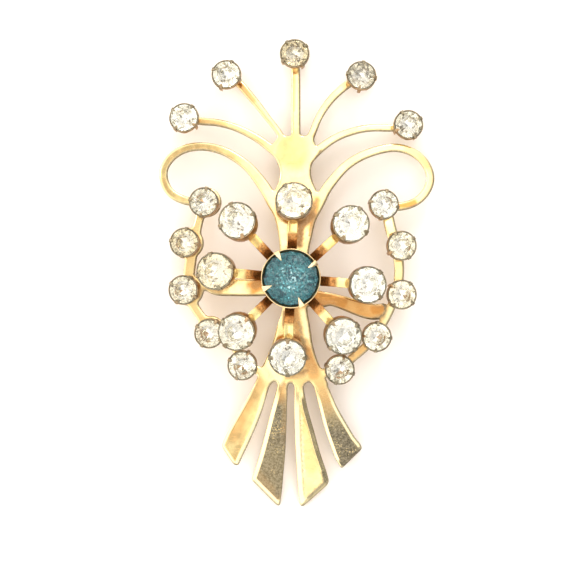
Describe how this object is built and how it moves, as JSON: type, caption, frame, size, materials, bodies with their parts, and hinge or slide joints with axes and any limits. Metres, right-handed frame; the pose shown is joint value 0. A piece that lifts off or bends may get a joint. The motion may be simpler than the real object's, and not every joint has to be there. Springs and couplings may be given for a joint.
{
  "type": "rhinestone brooch",
  "caption": "Domed gilt spray brooch lying on its back: curved stems and scrolls tipped with clear stones, a raised stone flower round a teal centre, a slotted tail and a pin behind.",
  "frame": {"origin": "on the floor, below the middle of the brooch's outline", "axes": "+Z out of the brooch's face, +Y towards the head of the spray, +X to the viewer's right"},
  "size_m": [0.0359, 0.061, 0.0095],
  "materials": {
    "gilt_sheet": "bright gilt plating, worn brown in the dark bars",
    "gilt_flower": "bright gilt plating",
    "cup_metal": "gilt cups dulled grey-brown at the rims",
    "clear_glass": "facetted clear glass with a foiled back",
    "teal_glass": "facetted teal glass with a crackled foil back",
    "pin_metal": "plain plated steel"
  },
  "bodies": {
    "root": {"spray_frame": "gilt_sheet", "flower_arms": "gilt_flower", "centre_setting": "gilt_flower", "centre_stone": "teal_glass", "pin_back": "pin_metal", "arm_setting_1": "cup_metal", "arm_setting_2": "cup_metal", "arm_setting_3": "cup_metal", "arm_setting_4": "cup_metal", "arm_setting_5": "cup_metal", "arm_setting_6": "cup_metal", "arm_setting_7": "cup_metal", "arm_setting_8": "cup_metal", "arm_stone_1": "clear_glass", "arm_stone_2": "clear_glass", "arm_stone_3": "clear_glass", "arm_stone_4": "clear_glass", "arm_stone_5": "clear_glass", "arm_stone_6": "clear_glass", "arm_stone_7": "clear_glass", "arm_stone_8": "clear_glass", "tip_setting_1": "cup_metal", "tip_setting_2": "cup_metal", "tip_setting_3": "cup_metal", "tip_setting_4": "cup_metal", "tip_setting_5": "cup_metal", "tip_stone_1": "clear_glass", "tip_stone_2": "clear_glass", "tip_stone_3": "clear_glass", "tip_stone_4": "clear_glass", "tip_stone_5": "clear_glass", "left_setting_1": "cup_metal", "left_setting_2": "cup_metal", "left_setting_3": "cup_metal", "left_setting_4": "cup_metal", "left_setting_5": "cup_metal", "left_stone_1": "clear_glass", "left_stone_2": "clear_glass", "left_stone_3": "clear_glass", "left_stone_4": "clear_glass", "left_stone_5": "clear_glass", "right_setting_1": "cup_metal", "right_setting_2": "cup_metal", "right_setting_3": "cup_metal", "right_setting_4": "cup_metal", "right_setting_5": "cup_metal", "right_stone_1": "clear_glass", "right_stone_2": "clear_glass", "right_stone_3": "clear_glass", "right_stone_4": "clear_glass", "right_stone_5": "clear_glass"}
  },
  "joints": []
}
